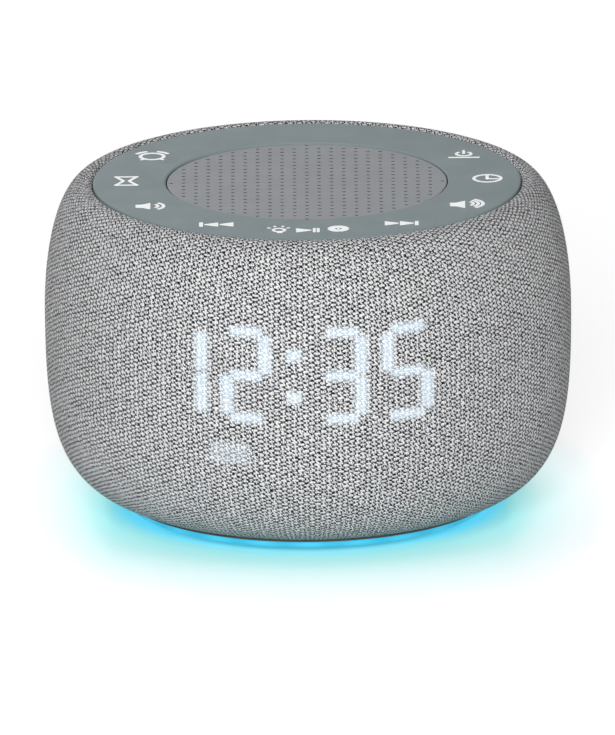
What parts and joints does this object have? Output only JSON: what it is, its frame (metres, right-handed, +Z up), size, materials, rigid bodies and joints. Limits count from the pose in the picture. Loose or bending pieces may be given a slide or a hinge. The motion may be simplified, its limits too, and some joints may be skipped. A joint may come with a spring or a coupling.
{
  "type": "white noise sound machine",
  "caption": "Round fabric-covered sound machine with a clock display, a ring of keys round a perforated speaker grille and a light ring under its hem.",
  "frame": {"origin": "on the table under the middle of the body, at the underside of the feet", "axes": "+Z up; the display faces -Y; +X is to the viewer's right when facing the display"},
  "size_m": [0.156, 0.156, 0.099],
  "materials": {
    "woven_cover": "basket weave of light and dark grey threads",
    "dark_shell": "matte moulded",
    "brown_trim": "matte",
    "soft_ring": "soft-touch matte grey",
    "grille_grey": "fine matte",
    "circuit_board": "satin solder mask",
    "black_plastic": "matte",
    "black_rubber": "matte",
    "basket_steel": "satin black",
    "cone_paper": "matte coated paper",
    "copper_wire": "enamelled copper",
    "spider_cloth": "stiffened cloth",
    "zinc_steel": "zinc plated",
    "ferrite": "matte ferrite",
    "brass_tags": "tinned brass",
    "screw_steel": "black zinc",
    "frosted_lens": "frosted diffuser",
    "white_plastic": "satin white",
    "lamp_white": "clear lamp over white",
    "glow_ring": "frosted, lit from behind"
  },
  "bodies": {
    "housing": {"fabric_sleeve": "woven_cover", "body_shell": "dark_shell", "hem_ring": "brown_trim", "control_ring": "soft_ring", "speaker_grille": "grille_grey", "top_deck": "dark_shell", "key_board": "circuit_board", "tact_switches": "black_plastic", "speaker_gasket": "black_rubber", "speaker_basket": "basket_steel", "speaker_surround": "black_rubber", "speaker_spider": "spider_cloth", "top_plate": "zinc_steel", "magnet": "ferrite", "pole_yoke": "zinc_steel", "speaker_terminals": "brass_tags", "speaker_screws": "screw_steel", "display_lens": "frosted_lens", "display_reflector": "white_plastic", "display_board": "circuit_board", "display_lamps": "lamp_white", "display_screws": "screw_steel", "rear_panel": "dark_shell", "power_inlet": "black_plastic", "usb_socket": "zinc_steel", "jack_board": "circuit_board", "main_board": "circuit_board", "board_parts": "black_plastic", "backup_cell": "zinc_steel", "board_screws": "screw_steel", "base_plate": "dark_shell", "light_ring": "glow_ring", "led_board": "circuit_board", "ring_lamps": "lamp_white", "base_screws": "screw_steel", "rubber_feet": "black_rubber"},
    "cone": {"speaker_cone": "cone_paper", "dust_cap": "cone_paper", "voice_coil": "copper_wire"},
    "key_power": {"key_power": "soft_ring"},
    "key_clock": {"key_clock": "soft_ring"},
    "key_volume_up": {"key_volume_up": "soft_ring"},
    "key_forward": {"key_forward": "soft_ring"},
    "key_back": {"key_back": "soft_ring"},
    "key_volume_down": {"key_volume_down": "soft_ring"},
    "key_timer": {"key_timer": "soft_ring"},
    "key_alarm": {"key_alarm": "soft_ring"},
    "key_light": {"key_light": "soft_ring"},
    "key_play": {"key_play": "soft_ring"},
    "key_pair": {"key_pair": "soft_ring"}
  },
  "joints": [
    {"name": "power_press", "type": "slide", "parent": "housing", "child": "key_power", "axis": [0, 0, -1], "range_m": [0, 0.0005], "stiffness_N_per_m": 1500},
    {"name": "clock_press", "type": "slide", "parent": "housing", "child": "key_clock", "axis": [0, 0, -1], "range_m": [0, 0.0005], "stiffness_N_per_m": 1500},
    {"name": "volume_up_press", "type": "slide", "parent": "housing", "child": "key_volume_up", "axis": [0, 0, -1], "range_m": [0, 0.0005], "stiffness_N_per_m": 1500},
    {"name": "forward_press", "type": "slide", "parent": "housing", "child": "key_forward", "axis": [0, 0, -1], "range_m": [0, 0.0005], "stiffness_N_per_m": 1500},
    {"name": "back_press", "type": "slide", "parent": "housing", "child": "key_back", "axis": [0, 0, -1], "range_m": [0, 0.0005], "stiffness_N_per_m": 1500},
    {"name": "volume_down_press", "type": "slide", "parent": "housing", "child": "key_volume_down", "axis": [0, 0, -1], "range_m": [0, 0.0005], "stiffness_N_per_m": 1500},
    {"name": "timer_press", "type": "slide", "parent": "housing", "child": "key_timer", "axis": [0, 0, -1], "range_m": [0, 0.0005], "stiffness_N_per_m": 1500},
    {"name": "alarm_press", "type": "slide", "parent": "housing", "child": "key_alarm", "axis": [0, 0, -1], "range_m": [0, 0.0005], "stiffness_N_per_m": 1500},
    {"name": "light_press", "type": "slide", "parent": "housing", "child": "key_light", "axis": [0, 0, -1], "range_m": [0, 0.0005], "stiffness_N_per_m": 1500},
    {"name": "play_press", "type": "slide", "parent": "housing", "child": "key_play", "axis": [0, 0, -1], "range_m": [0, 0.0005], "stiffness_N_per_m": 1500},
    {"name": "pair_press", "type": "slide", "parent": "housing", "child": "key_pair", "axis": [0, 0, -1], "range_m": [0, 0.0005], "stiffness_N_per_m": 1500},
    {"name": "cone_stroke", "type": "slide", "parent": "housing", "child": "cone", "axis": [0, 0, 1], "range_m": [-0.0012, 0.0012], "stiffness_N_per_m": 1500, "deforming": ["speaker_surround", "speaker_spider"]}
  ]
}
